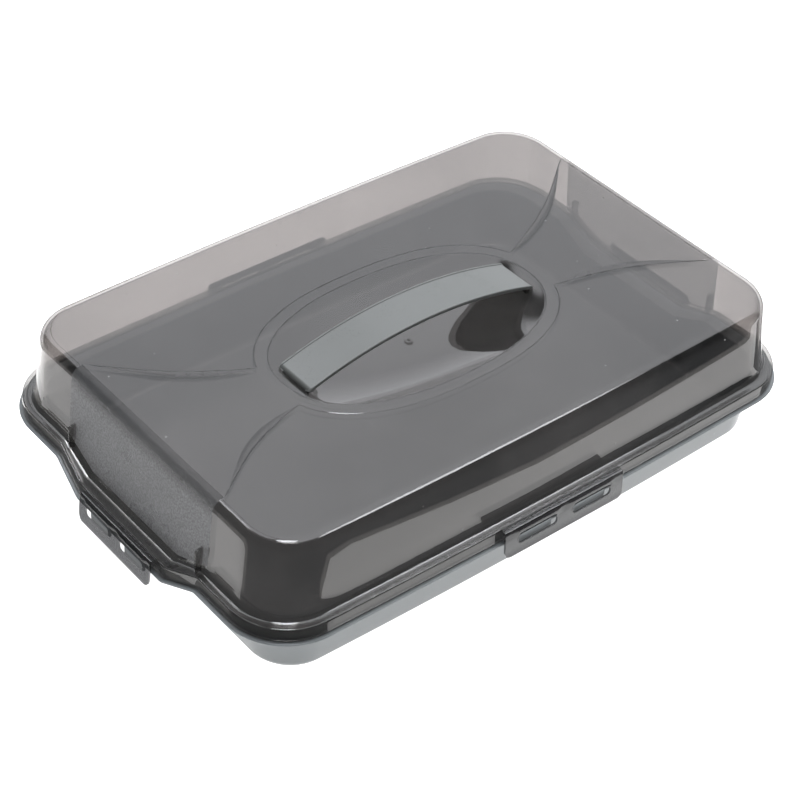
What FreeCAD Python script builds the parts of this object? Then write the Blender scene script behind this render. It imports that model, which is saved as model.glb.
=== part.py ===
import FreeCAD, Part
import math
import os

os.makedirs("parts", exist_ok=True)

V = FreeCAD.Vector

# Sheet-cake carrier. Millimetres, +Z up, +X along the long side,
# origin on the ground under the middle of the tray.

# heights
Z_FLANGE = 48.4      # top of the lid flange
Z_EAR = 36.6         # top of the lowered grip at each short end
Z_TOP = 99.3         # top edge of the lid
Z_RING = 87.3        # level of the ring round the recess
Z_BOWL = 73.9        # lowest point of the recess, outside
Z_HANDLE = 102.6     # top of the carry strap

# lid flange outline, half sizes
A_FL = 213.5
B_FL = 145.4
R_FL = 40.0
BOW = 3.4            # how far the long sides bow out
EAR_OUT = 3.9        # how far the grip stands out at the short ends
EAR_IN_Y = 44.2      # half width of the flat of the grip
EAR_OUT_Y = 72.0     # where the slope meets the level flange

# lid shell
T_LID = 2.0
SKIRT = 9.1
SKIRT_T = 1.8
A_FOOT = 206.3
B_FOOT = 138.2
R_FOOT = 34.0
A_TOP = 201.6
B_TOP = 132.5
R_TOP = 33.0
EDGE_R = 6.8
A_RING = 106.6
B_RING = 65.0
N_RING = 2.4
A_RIM = 98.4
B_RIM = 56.2
N_RIM = 2.3

# base tray
T_BASE = 2.2
A_BOT = 197.2
B_BOT = 132.8
R_BOT = 29.0
BOT_R = 6.0
A_WALL = 201.2
B_WALL = 136.8
R_WALL = 33.0
GAP = 0.35
LIP_OUT = 2.4
LIP_T = 1.8
LUG_H = 4.9          # top of the catches behind the clip slots, above the underside of the lip
LUG_DOWN = 3.65      # how far the catches hang below the lip

# clips
P_OUT = 0.35         # hinge axis outside the flange edge
P_DOWN = 0.0         # hinge axis under the flange top
BEAD_R = 0.5
FRONT_HALF = 48.0
END_HALF = 37.0
CLIP_W = [
    (0.2, 0.3),
    (2.5, 0.35),
    (3.7, -0.2),
    (4.3, -1.5),
    (5.1, -9.2),
    (5.5, -15.6),
    (6.3, -18.9),
    (4.9, -18.9),
    (4.1, -15.6),
    (3.5, -9.2),
    (2.8, -1.9),
    (2.2, -0.3),
    (0.2, -0.25),
]


def outline(d, z, a0=A_FL, b0=B_FL, r0=R_FL, ear=True):
    """Closed wire: straight short sides, bowed long sides, round corners."""
    a = a0 + d
    b = b0 + d
    r = r0 + d
    big = a0 * a0 / (2.0 * BOW) + BOW / 2.0
    yc = b - big
    cx = a - r
    cy = yc + math.sqrt((big - r) ** 2 - cx * cx)
    ux = cx / (big - r)
    uy = (cy - yc) / (big - r)
    tx = big * ux
    ty = yc + big * uy
    phi = math.atan2(uy, ux) / 2.0
    mx = cx + r * math.cos(phi)
    my = cy + r * math.sin(phi)

    def q(sx, sy, x, y):
        return V(sx * x, sy * y, z)

    edges = []

    def side(s):
        pts = [(a, -s * cy)]
        if ear:
            pts.append((a, -s * EAR_OUT_Y))
            pts.append((a + EAR_OUT, -s * EAR_IN_Y))
            pts.append((a + EAR_OUT, s * EAR_IN_Y))
            pts.append((a, s * EAR_OUT_Y))
        pts.append((a, s * cy))
        for p0, p1 in zip(pts[:-1], pts[1:]):
            edges.append(Part.LineSegment(V(s * p0[0], p0[1], z), V(s * p1[0], p1[1], z)).toShape())

    side(1)
    edges.append(Part.Arc(q(1, 1, a, cy), q(1, 1, mx, my), q(1, 1, tx, ty)).toShape())
    edges.append(Part.Arc(q(1, 1, tx, ty), V(0, b, z), q(-1, 1, tx, ty)).toShape())
    edges.append(Part.Arc(q(-1, 1, tx, ty), q(-1, 1, mx, my), q(-1, 1, a, cy)).toShape())
    side(-1)
    edges.append(Part.Arc(q(-1, -1, a, cy), q(-1, -1, mx, my), q(-1, -1, tx, ty)).toShape())
    edges.append(Part.Arc(q(-1, -1, tx, ty), V(0, -b, z), q(1, -1, tx, ty)).toShape())
    edges.append(Part.Arc(q(1, -1, tx, ty), q(1, -1, mx, my), q(1, -1, a, cy)).toShape())
    return Part.Wire(Part.__sortEdges__(edges))


def prism(d, z0, z1, **kw):
    return Part.Face(outline(d, z0, **kw)).extrude(V(0, 0, z1 - z0))


def loft(wires, ruled=True):
    return Part.makeLoft(wires, True, ruled)


def level(y):
    """Height of the flange top along the tray's width."""
    t = min(max((abs(y) - EAR_IN_Y) / (EAR_OUT_Y - EAR_IN_Y), 0.0), 1.0)
    return Z_EAR + (Z_FLANGE - Z_EAR) * t


def band(lo, hi):
    """Slab that follows the flange, from lo to hi relative to its top."""
    ys = [-200.0, -EAR_OUT_Y, -EAR_IN_Y, EAR_IN_Y, EAR_OUT_Y, 200.0]
    pts = [V(-240, y, level(y) + lo) for y in ys]
    pts += [V(-240, y, level(y) + hi) for y in reversed(ys)]
    return Part.Face(Part.makePolygon(pts + [pts[0]])).extrude(V(480, 0, 0))


def below(hi):
    """Everything under the flange top plus hi."""
    ys = [-200.0, -EAR_OUT_Y, -EAR_IN_Y, EAR_IN_Y, EAR_OUT_Y, 200.0]
    pts = [V(-240, -200, -10)]
    pts += [V(-240, y, level(y) + hi) for y in ys]
    pts += [V(-240, 200, -10)]
    return Part.Face(Part.makePolygon(pts + [pts[0]])).extrude(V(480, 0, 0))


def superellipse(a, b, n, z, count=48):
    pts = []
    for i in range(count):
        t = 2.0 * math.pi * i / count
        c = math.cos(t)
        s = math.sin(t)
        r = (abs(c / a) ** n + abs(s / b) ** n) ** (-1.0 / n)
        pts.append(V(r * c, r * s, z))
    curve = Part.BSplineCurve()
    curve.interpolate(pts, PeriodicFlag=True)
    return Part.Wire(curve.toShape())


def box(x0, x1, y0, y1, z0, z1):
    return Part.makeBox(x1 - x0, y1 - y0, z1 - z0, V(x0, y0, z0))


def fillet(shape, pick, r):
    edges = [e for e in shape.Edges if pick(e)]
    return shape.makeFillet(r, edges)


def flat_at(z):
    def pick(e):
        b = e.BoundBox
        return abs(b.ZMin - z) < 1e-4 and abs(b.ZMax - z) < 1e-4
    return pick


# ---------------------------------------------------------------- base tray
def make_base():
    top = Z_FLANGE - T_LID - GAP
    kb = dict(a0=A_BOT, b0=B_BOT, r0=R_BOT, ear=False)
    kw = dict(a0=A_WALL, b0=B_WALL, r0=R_WALL, ear=False)
    outer = loft([outline(0, 0, **kb), outline(0, top, **kw)])
    outer = fillet(outer, flat_at(0), BOT_R)
    inner = loft([outline(-T_BASE, T_BASE, **kb), outline(-T_BASE, top + 5, **kw)])
    inner = fillet(inner, flat_at(T_BASE), BOT_R - 1.5)
    hi = -T_LID - GAP
    web_out = -SKIRT_T - GAP
    plate = prism(web_out, 20, 60).cut(prism(-T_BASE, 10, 70, **kw))
    plate = plate.common(band(hi - T_BASE, hi))
    web = prism(web_out, 5, 60).cut(prism(web_out - T_BASE, 0, 70))
    lip_top = -SKIRT - GAP
    web = web.common(band(lip_top - LIP_T, hi))
    lip = prism(LIP_OUT, 5, 60).cut(prism(web_out - T_BASE, 0, 70))
    lip = lip.common(band(lip_top - LIP_T, lip_top))
    body = outer.cut(inner).common(below(hi))
    body = body.fuse([plate, web, lip])
    lugs = []
    z = Z_FLANGE + lip_top - LIP_T
    ze = Z_EAR + lip_top - LIP_T
    for s in (-1, 1):
        for x in (-22.0, 22.0):
            y0 = B_FL + LIP_OUT - 1.1
            y1 = B_FL + LIP_OUT + 0.75
            lugs.append(box(x - 13, x + 13, min(s * y0, s * y1), max(s * y0, s * y1), z - LUG_DOWN, z + LUG_H))
        for y in (-17.9, 17.9):
            x0 = A_FL + EAR_OUT + LIP_OUT - 1.1
            x1 = A_FL + EAR_OUT + LIP_OUT + 0.75
            lugs.append(box(min(s * x0, s * x1), max(s * x0, s * x1), y - 10, y + 10, ze - LUG_DOWN, ze + LUG_H))
    body = body.fuse(lugs)
    return body.removeSplitter()


# ---------------------------------------------------------------- lid
def dish(dz, grow=0.0):
    """Solid that removes the shallow dish in the top."""
    a = A_TOP - 4.0 + grow
    b = B_TOP - 4.0 + grow
    n = 72
    pts = []
    ring = []
    w = outline(0, 0, a0=a, b0=b, r0=R_TOP - 4.0, ear=False)
    face = Part.Face(w)
    for i in range(n):
        t = 2.0 * math.pi * (i + 0.5) / n
        c = math.cos(t)
        s = math.sin(t)
        ray = Part.LineSegment(V(0, 0, 0), V(600 * c, 600 * s, 0)).toShape()
        cut = face.common(ray)
        r = cut.Edges[0].Length
        pts.append(V(r * c, r * s, Z_TOP + dz))
        rr = (abs(c / A_RING) ** N_RING + abs(s / B_RING) ** N_RING) ** (-1.0 / N_RING)
        ring.append(V(rr * c, rr * s, Z_RING + dz))
    faces = []
    for i in range(n):
        j = (i + 1) % n
        up_i = V(pts[i].x, pts[i].y, Z_TOP + 20)
        up_j = V(pts[j].x, pts[j].y, Z_TOP + 20)
        faces.append(Part.Face(Part.makePolygon([ring[i], ring[j], pts[j], ring[i]])))
        faces.append(Part.Face(Part.makePolygon([ring[i], pts[j], pts[i], ring[i]])))
        faces.append(Part.Face(Part.makePolygon([pts[i], pts[j], up_j, up_i, pts[i]])))
    faces.append(Part.Face(Part.makePolygon(ring + [ring[0]])))
    tops = [V(p.x, p.y, Z_TOP + 20) for p in pts]
    faces.append(Part.Face(Part.makePolygon(tops + [tops[0]])))
    return Part.Solid(Part.Shell(faces))


def bowl(grow, lower):
    deep = Z_RING - Z_BOWL
    rows = [(f, 1.0 - f ** 2.1) for f in (1.0, 0.88, 0.74, 0.58, 0.4, 0.22)]
    rows.append((0.06, 0.998))
    wires = []
    wires.append(superellipse(A_RIM + grow + 0.6, B_RIM + grow + 0.6, N_RIM, Z_RING + 1.5 - lower))
    for f, h in rows:
        n = 2.0 + (N_RIM - 2.0) * f
        wires.append(superellipse(A_RIM * f + grow, B_RIM * f + grow, n, Z_RING - deep * h - lower))
    return Part.makeLoft(wires, True, True)


def make_lid():
    lo = Z_EAR - T_LID
    kf = dict(a0=A_FOOT, b0=B_FOOT, r0=R_FOOT, ear=False)
    kt = dict(a0=A_TOP, b0=B_TOP, r0=R_TOP, ear=False)
    drop = (Z_FLANGE - lo) / (Z_TOP - Z_FLANGE)
    low = (A_FOOT - A_TOP) * drop
    outer = loft([outline(low, lo, **kf), outline(0, Z_TOP, **kt)])
    outer = fillet(outer, flat_at(Z_TOP), EDGE_R)
    inner = loft([outline(low - T_LID, lo - 0.01, **kf), outline(-T_LID, Z_TOP - T_LID, **kt)])
    inner = fillet(inner, flat_at(Z_TOP - T_LID), EDGE_R - T_LID)
    inner = inner.cut(dish(-T_LID)).cut(bowl(T_LID, T_LID))
    shell = outer.cut(dish(0)).cut(bowl(0.0, 0.0)).cut(inner)
    shell = shell.cut(below(-T_LID))
    foot = prism(-2.0, lo - 5, Z_TOP, **kf)
    plate = prism(0, lo - 5, 60).cut(foot).common(band(-T_LID, 0))
    skirt = prism(0, 10, 60).cut(prism(-SKIRT_T, 0, 70)).common(band(-SKIRT, 0))
    body = shell.fuse([plate, skirt])
    # ribs that stand on the flange where the grip starts to slope
    ribs = []
    for sx in (-1, 1):
        for sy in (-1, 1):
            y0 = sy * 66.0 - 1.0
            x0 = 203.2
            pts = [
                V(sx * x0, y0, 44.0),
                V(sx * 210.6, y0, 44.0),
                V(sx * 210.3, y0, 60.5),
                V(sx * 209.0, y0, 62.0),
                V(sx * (x0 + 0.5), y0, 63.0),
            ]
            rib = Part.Face(Part.makePolygon(pts + [pts[0]])).extrude(V(0, 2.0, 0))
            ribs.append(rib.cut(inner).cut(below(-1.0)))
    body = body.fuse(ribs)
    # gate mark in the middle of the recess
    body = body.fuse(Part.makeCylinder(2.4, 1.2, V(0, 0, Z_BOWL - 0.4)))
    body = body.cut(Part.makeCylinder(1.2, 2.0, V(0, 0, Z_BOWL + 0.3)))
    # slots for the strap ends
    for s in (-1, 1):
        x0, x1 = sorted((s * HX0, s * HX1))
        body = body.cut(box(x0 - 0.2, x1 + 0.2, -TAB_HALF - 0.2, TAB_HALF + 0.2, 60, Z_RING + 1))
    # running groove of each clip
    for p, ax, half in hinge_lines():
        start = p - ax * (half + 0.3)
        body = body.cut(Part.makeCylinder(BEAD_R + 0.06, 2 * half + 0.6, start, ax))
    return body.removeSplitter()


# ---------------------------------------------------------------- handle
HX0 = 88.6
HX1 = 91.4
TAB_HALF = 12.0
Z_TAB = 80.8         # lower end of the tabs
H_HALF = 15.2
H_T = 2.8


def make_handle():
    x1 = 92.2
    z1 = Z_RING + 0.4
    outer = Part.Arc(V(-x1, 0, z1), V(0, 0, Z_HANDLE), V(x1, 0, z1)).toShape()
    inner = Part.Arc(V(-x1 + 2.0, 0, z1 - H_T), V(0, 0, Z_HANDLE - H_T), V(x1 - 2.0, 0, z1 - H_T)).toShape()
    ends = []
    for s in (-1, 1):
        ends.append(Part.LineSegment(V(s * x1, 0, z1), V(s * (x1 - 2.0), 0, z1 - H_T)).toShape())
    face = Part.Face(Part.Wire(Part.__sortEdges__([outer, inner] + ends)))
    strap = face.extrude(V(0, 2 * H_HALF, 0))
    strap.translate(V(0, -H_HALF, 0))
    # thin raised edges along both sides
    down = strap.copy()
    down.translate(V(0, 0, -0.5))
    rims = []
    for s in (-1, 1):
        y0 = s * H_HALF - (1.2 if s > 0 else 0.0)
        cut = box(-120, 120, y0, y0 + 1.2, 60, 130)
        rims.append(strap.common(cut))
    body = down.fuse(rims)
    # the ends stop just above the curved recess
    for s in (-1, 1):
        pts = [V(s * x, -20, z) for x, z in [(84, 84.5), (88.2, 85.4), (92.2, 86.45), (96, 87.5), (96, 60), (84, 60)]]
        seat = Part.Face(Part.makePolygon(pts + [pts[0]])).extrude(V(0, 40, 0))
        body = body.cut(seat)
    # tabs that pass down through the lid and hook under it
    for s in (-1, 1):
        x0, x2 = sorted((s * HX0, s * HX1))
        tab = box(x0, x2, -TAB_HALF, TAB_HALF, Z_TAB, Z_RING - 0.6)
        x3, x4 = sorted((s * (HX1 - 0.4), s * (HX1 + 1.6)))
        hook = box(x3, x4, -TAB_HALF, TAB_HALF, Z_TAB, Z_TAB + 1.4)
        body = body.fuse([tab, hook])
    return body.removeSplitter()


# ---------------------------------------------------------------- clips
def hinge_lines():
    y = B_FL + P_OUT
    x = A_FL + EAR_OUT + P_OUT
    z = Z_FLANGE - P_DOWN
    ze = Z_EAR - P_DOWN
    return [
        (V(0, -y, z), V(1, 0, 0), FRONT_HALF),
        (V(0, y, z), V(1, 0, 0), FRONT_HALF),
        (V(-x, 0, ze), V(0, 1, 0), END_HALF),
        (V(x, 0, ze), V(0, 1, 0), END_HALF),
    ]


def make_clip(half, s0, s1):
    """Clip seen with +X along it and -Y outward, hinge axis on the origin."""
    pts = [V(-half, -u, w) for u, w in CLIP_W]
    body = Part.Face(Part.makePolygon(pts + [pts[0]])).extrude(V(2 * half, 0, 0))
    for s in (-1, 1):
        x0, x1 = sorted((s * s0, s * s1))
        # shallow bulge over the slot
        pad = [V(x0 - 1, -3.5, -2.0), V(x0 - 1, -4.9, -2.6), V(x0 - 1, -5.3, -4.6), V(x0 - 1, -3.9, -5.4)]
        pad = Part.Face(Part.makePolygon(pad + [pad[0]])).extrude(V(x1 - x0 + 2, 0, 0))
        body = body.fuse(pad)
    for s in (-1, 1):
        x0, x1 = sorted((s * s0, s * s1))
        slot = box(x0, x1, -8.0, -2.0, -12.2, -5.8)
        slot = slot.makeFillet(2.4, [e for e in slot.Edges if abs(e.BoundBox.YLength - 6.0) < 1e-4])
        body = body.cut(slot)
    # rounded lower corners
    keep = box(-half, half, -9.0, 2.0, -18.95, 3.0)
    pick = []
    for e in keep.Edges:
        b = e.BoundBox
        if abs(b.YLength - 11.0) < 1e-4 and abs(b.ZMin + 18.95) < 1e-4:
            pick.append(e)
    keep = keep.makeFillet(4.5, pick)
    body = body.common(keep)
    body = body.cut(Part.makeCylinder(BEAD_R + 0.02, 2 * half + 2, V(-half - 1, 0, 0), V(1, 0, 0)))
    return body.removeSplitter()


def place(shape, turn, p):
    out = shape.copy()
    out.rotate(V(0, 0, 0), V(0, 0, 1), turn)
    out.translate(p)
    return out


names = ["front", "back", "left", "right"]
turns = [0, 180, -90, 90]
long_clip = make_clip(FRONT_HALF, 6.5, 37.5)
short_clip = make_clip(END_HALF, 5.6, 30.2)

out = {}
out["base_tray"] = make_base()
out["lid"] = make_lid()
out["carry_handle"] = make_handle()
for name, turn, line in zip(names, turns, hinge_lines()):
    p, ax, half = line
    src = long_clip if half == FRONT_HALF else short_clip
    out["clip_" + name] = place(src, turn, p)
    bead = Part.makeCylinder(BEAD_R, 2 * half, p - ax * half, ax)
    out["film_" + name] = bead

for name, shape in out.items():
    b = shape.BoundBox
    solids = len(shape.Solids)
    print(name, solids, shape.isValid(), round(shape.Volume), [round(v, 1) for v in
          (b.XMin, b.XMax, b.YMin, b.YMax, b.ZMin, b.ZMax)])
    shape.exportStep("parts/" + name + ".step")
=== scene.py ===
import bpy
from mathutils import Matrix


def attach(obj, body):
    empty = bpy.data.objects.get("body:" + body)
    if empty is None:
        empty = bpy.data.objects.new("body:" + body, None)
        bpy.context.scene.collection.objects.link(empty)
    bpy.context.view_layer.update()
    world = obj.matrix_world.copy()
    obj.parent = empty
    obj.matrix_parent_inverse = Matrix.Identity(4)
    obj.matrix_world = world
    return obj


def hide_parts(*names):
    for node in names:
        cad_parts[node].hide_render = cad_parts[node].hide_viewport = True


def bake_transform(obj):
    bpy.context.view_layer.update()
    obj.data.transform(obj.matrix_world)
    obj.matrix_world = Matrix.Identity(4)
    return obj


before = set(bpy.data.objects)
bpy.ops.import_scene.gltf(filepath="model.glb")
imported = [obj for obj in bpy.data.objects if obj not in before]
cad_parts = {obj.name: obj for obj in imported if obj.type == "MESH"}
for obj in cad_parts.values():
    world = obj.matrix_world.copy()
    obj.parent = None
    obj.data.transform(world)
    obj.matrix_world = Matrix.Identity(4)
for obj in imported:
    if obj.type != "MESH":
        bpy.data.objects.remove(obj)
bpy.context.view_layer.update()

import math

import bmesh
import bpy
import numpy as np
from mathutils import Matrix, Vector

# A cake carrier: a tray, a smoked see-through lid with a strap, and four clips on film hinges.
# Lengths are in mm unless a comment says otherwise. X runs along the long sides, Z is up.
MM = 0.001

# ------------------------------------------------------------------ sizes
# heights above the table
Z_FLANGE = 48.4    # top of the lid's flange
Z_EAR = 36.6       # the same, on the lowered grips of the short ends
Z_TOP = 99.3       # crest of the rounded top edge
Z_RING = 87.3      # flat ring around the recess
Z_BOWL = 73.9      # bottom of the recess
Z_HANDLE = 102.6   # crown of the strap

# outlines: half length, half width, corner radius
FLANGE = (213.5, 145.4, 40.0)
FOOT = (206.3, 138.2, 34.0)      # lid wall at the flange
TOP = (201.6, 132.5, 33.0)       # lid wall at the top
BOTTOM = (197.2, 132.8, 29.0)    # tray wall at the table
WALL = (201.2, 136.8, 33.0)      # tray wall at the rim
BOW = 3.4                        # how far the long sides bow outward

# grips: how far the flange steps out, where its slope starts and ends, and how softly
EAR_OUT = 3.9
EAR_IN_Y = 44.2
EAR_OUT_Y = 72.0
EAR_SOFT = 1.6

# sections
T_LID = 2.0
T_BASE = 2.2
SKIRT = 9.1          # height of the skirt
SKIRT_T = 1.8
SKIRT_DRAFT = 0.6
SKIRT_R = 1.1        # rounding between flange and skirt
EDGE_R = 6.5         # rounding of the lid's top edge
FOOT_R = 4.2         # fillet between the lid's wall and its flange
GAP = 0.35           # play between lid and tray
LIP_OUT = 2.4        # the tray's lip, beyond the flange
LIP_T = 1.8
LUG_OUT = 0.75       # the tray's catches, beyond the lip
LUG_IN = 1.3
LUG_H = 4.9
LUG_DOWN = 3.65

# the ring and the rim of the recess, as superellipses: half length, half width, exponent
RING = (106.6, 65.0, 2.4)
RIM = (98.4, 56.2, 2.3)
# flared line between the glossy and the grained part of the top: x, half width
FLARE = [
    (196, 72), (190, 68), (180, 60.5), (168, 51.5),
    (156, 43.5), (139, 34.5), (122, 27.2), (105.5, 21.3),
]
FLARE_RIM_Y = 18.5

# column stations along a short side, from its middle to the corner
SIDE = [
    0, 8, 16, 24, 31, 37, 40.5, 42.5, 44.2, 46, 48.5, 53, 58, 63, 67,
    69.5, 71.1, 71.5, 72, 72.5, 72.9, 74.5, 77,
]
FROST_COL = SIDE.index(72)       # the column on the flared line
N_STRAIGHT, N_CORNER, N_LONG = 5, 22, 34


# ------------------------------------------------------------------ lines and outlines
def run(p):
    """Length along a line of points, from 0 at the first."""
    return np.concatenate([[0], np.cumsum(np.linalg.norm(np.diff(p, axis=0), axis=1))])


def shares(p):
    """The same, as shares of the whole length."""
    s = run(p)
    return s / s[-1]


def picked(p, s, at):
    """Points of the line p at the stations asked for, where s holds the stations of p."""
    return np.stack([np.interp(at, s, p[:, k]) for k in (0, 1)], 1)


def ear_rise(y):
    """0 on the flat of the grip, 1 where the flange is level again."""
    def rise(u):
        soft = (u + EAR_SOFT) ** 2 / (4 * EAR_SOFT)
        return np.where(u < -EAR_SOFT, 0.0, np.where(u > EAR_SOFT, u, soft))

    y = np.abs(y)
    return (rise(y - EAR_IN_Y) - rise(y - EAR_OUT_Y)) / (EAR_OUT_Y - EAR_IN_Y)


def quarter(spec, d=0.0, ear=False):
    """One quarter of an outline grown by d, from mid short side to mid long side."""
    a0, b0, r0 = spec
    a, b, r = a0 + d, b0 + d, r0 + d
    bow_r = a0 * a0 / (2 * BOW) + BOW / 2
    yc = b - bow_r
    cx = a - r
    cy = yc + math.sqrt((bow_r - r) ** 2 - cx * cx)
    phi = math.atan2(cy - yc, cx)
    last = SIDE[-1]
    steps = range(1, N_STRAIGHT + 1)
    ys = np.array(SIDE + [last + (cy - last) * k / N_STRAIGHT for k in steps])
    xs = a + (EAR_OUT * (1 - ear_rise(ys)) if ear else 0 * ys)
    short = np.stack([xs, ys], 1)
    t = phi * np.arange(1, N_CORNER + 1) / N_CORNER
    corner = np.stack([cx + r * np.cos(t), cy + r * np.sin(t)], 1)
    t = phi + (math.pi / 2 - phi) * np.arange(1, N_LONG + 1) / N_LONG
    long = np.stack([bow_r * np.cos(t), yc + bow_r * np.sin(t)], 1)
    return np.concatenate([short, corner, long])


Q = len(quarter(FOOT))
ONE = np.ones(Q)


def level():
    """Height of the flange top at each column."""
    return Z_EAR + (Z_FLANGE - Z_EAR) * ear_rise(quarter(FLANGE)[:, 1])


def row(xy, z):
    """A quarter row: an outline at one height, or at one height for each column."""
    return np.column_stack([xy, z * ONE])


def flange_row(d, z):
    """A quarter row that follows the flange and its grips, d beyond the flange edge."""
    return row(quarter(FLANGE, d, True), z)


def around(q):
    """A closed row from its first quarter."""
    b = q[::-1][1:] * (-1, 1, 1)
    c = q[1:] * (-1, -1, 1)
    d = q[::-1][1:-1] * (1, -1, 1)
    return np.concatenate([q, b, c, d])


def superellipse(spec, y0):
    """Closely spaced points of a superellipse's first quarter, from height y0 up."""
    a, b, n = spec
    t = np.linspace(0, math.pi / 2, 4000)
    r = ((np.cos(t) / a) ** n + (np.sin(t) / b) ** n) ** (-1 / n)
    p = np.stack([r * np.cos(t), r * np.sin(t)], 1)
    return p[p[:, 1] >= y0 - 1e-9]


def inner_curve(spec, y_split, top):
    """Points on a superellipse for each column, split where the flared line meets it."""
    a, b, n = spec
    ends = slice(0, FROST_COL + 1)
    out = np.zeros((Q, 2))
    y = y_split * (np.array(SIDE[ends]) / SIDE[FROST_COL])
    out[ends, 1] = y
    out[ends, 0] = a * (1 - (y / b) ** n) ** (1 / n)
    curve = superellipse(spec, y_split)
    out[FROST_COL:] = picked(curve, shares(curve), shares(top[FROST_COL:]))
    return out


# ------------------------------------------------------------------ meshes
def grid(rows):
    """Vertices and quads of rows that each close on themselves, and each quad's row and column."""
    n = len(rows[0])
    faces, tags = [], []
    for i in range(len(rows) - 1):
        a, b = i * n, (i + 1) * n
        for j in range(n):
            m = (j + 1) % n
            faces.append((a + j, a + m, b + m, b + j))
            tags.append((i, j))
    return np.concatenate(rows), faces, tags


def capped(rows):
    """A grid closed by one flat face at each end."""
    n = len(rows[0])
    verts, faces, _ = grid(rows)
    faces.append(tuple(range(n))[::-1])
    faces.append(tuple(range((len(rows) - 1) * n, len(rows) * n)))
    return verts, faces


def poled(rows, first, last):
    """A grid closed by a fan of triangles to a point at each end."""
    n = len(rows[0])
    verts, faces, tags = grid(rows)
    verts = np.concatenate([verts, [first, last]])
    end = (len(rows) - 1) * n
    for j in range(n):
        m = (j + 1) % n
        faces.append((m, j, len(verts) - 2))
        faces.append((end + j, end + m, len(verts) - 1))
    return verts, faces, tags


def slab(points, y0, y1, bevel=0.35):
    """A flat outline in x and z, as a thin solid with its long edges broken."""
    pts = np.array(points, float)
    mid = pts.mean(0)
    size = np.abs(pts - mid).max(0)
    small = mid + (pts - mid) * (1 - bevel / size)
    rows = []
    for y, p in [(y0, small), (y0 + bevel, pts), (y1 - bevel, pts), (y1, small)]:
        rows.append(np.column_stack([p[:, 0], np.full(len(pts), y), p[:, 1]]))
    return capped(rows)


def join_meshes(parts):
    """Adds up (verts, faces, picks) lists; a pick is a face's material."""
    verts, faces, picks = [], [], []
    for v, f, p in parts:
        base = sum(len(x) for x in verts)
        verts.append(np.asarray(v, float))
        faces += [tuple(i + base for i in q) for q in f]
        picks += list(p)
    return np.concatenate(verts), faces, picks


def make(name, verts, faces, materials, picks=None):
    """A smooth-shaded object from mesh data in mm, its normals turned outward."""
    mesh = bpy.data.meshes.new(name)
    mesh.from_pydata([tuple(v) for v in np.asarray(verts) * MM], [], faces)
    for m in materials:
        mesh.materials.append(m)
    if picks is not None:
        mesh.polygons.foreach_set("material_index", picks)
    mesh.validate()
    bm = bmesh.new()
    bm.from_mesh(mesh)
    bmesh.ops.recalc_face_normals(bm, faces=bm.faces)
    bm.to_mesh(mesh)
    bm.free()
    mesh.polygons.foreach_set("use_smooth", [True] * len(mesh.polygons))
    obj = bpy.data.objects.new(name, mesh)
    bpy.context.scene.collection.objects.link(obj)
    return obj


def weighted(obj):
    """Shades large faces flat and leaves the curve to the small ones."""
    m = obj.modifiers.new("normals", "WEIGHTED_NORMAL")
    m.keep_sharp = True
    m.weight = 60


# ------------------------------------------------------------------ materials
WHITE = (1, 1, 1, 1)
EVEN = (1, 1, 1)
IOR = 1.5


def add_node(tree, kind, ins=None, **sets):
    """A new node with its properties and inputs set; an input given a socket is linked to it."""
    n = tree.nodes.new(kind)
    for k, v in sets.items():
        setattr(n, k, v)
    for k, v in (ins or {}).items():
        if isinstance(v, bpy.types.NodeSocket):
            tree.links.new(v, n.inputs[k])
        else:
            n.inputs[k].default_value = v
    return n


class Nodes:
    """A material under construction. Texture positions and bump heights are in metres."""

    def __init__(self, name):
        self.mat = bpy.data.materials.new(name)
        self.mat.use_nodes = True
        self.tree = self.mat.node_tree
        self.tree.nodes.clear()
        self.coord = None

    def add(self, kind, ins=None, **sets):
        return add_node(self.tree, kind, ins, **sets)

    def place(self, scale=EVEN):
        if self.coord is None:
            self.coord = self.add("ShaderNodeTexCoord").outputs["Object"]
        return self.add("ShaderNodeMapping", {"Vector": self.coord, "Scale": scale}).outputs[0]

    def noise(self, scale, detail=2.0, stretch=EVEN, rough=0.5):
        ins = {"Vector": self.place(stretch), "Scale": scale, "Detail": detail, "Roughness": rough}
        return self.add("ShaderNodeTexNoise", ins).outputs["Fac"]

    def remap(self, v, lo, hi, to_lo, to_hi):
        return self.add("ShaderNodeMapRange", {0: v, 1: lo, 2: hi, 3: to_lo, 4: to_hi}).outputs[0]

    def math(self, op, a, b=0.0, c=None):
        ins = {0: a, 1: b}
        if c is not None:
            ins[2] = c
        return self.add("ShaderNodeMath", ins, operation=op).outputs[0]

    def ramp(self, fac, stops):
        n = self.add("ShaderNodeValToRGB", {"Fac": fac})
        el = n.color_ramp.elements
        while len(el) < len(stops):
            el.new(0.5)
        for e, (pos, col) in zip(el, stops):
            e.position = pos
            e.color = (*col, 1)
        return n.outputs["Color"]

    def bump(self, height, strength, distance, normal=None):
        ins = {"Height": height, "Strength": strength, "Distance": distance}
        if normal is not None:
            ins["Normal"] = normal
        return self.add("ShaderNodeBump", ins).outputs["Normal"]

    def clear(self, colour):
        return self.add("ShaderNodeBsdfTransparent", {"Color": colour}).outputs[0]

    def principled(self, colour, rough, **more):
        ins = {"Base Color": colour, "Roughness": rough, **more}
        return self.add("ShaderNodeBsdfPrincipled", ins).outputs[0]

    def mix(self, share, under, over):
        return self.add("ShaderNodeMixShader", {0: share, 1: under, 2: over}).outputs[0]

    def out(self, shader):
        self.add("ShaderNodeOutputMaterial", {"Surface": shader})
        return self.mat


def scaled(colour, k):
    return tuple(min(1, c * k) for c in colour)


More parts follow.
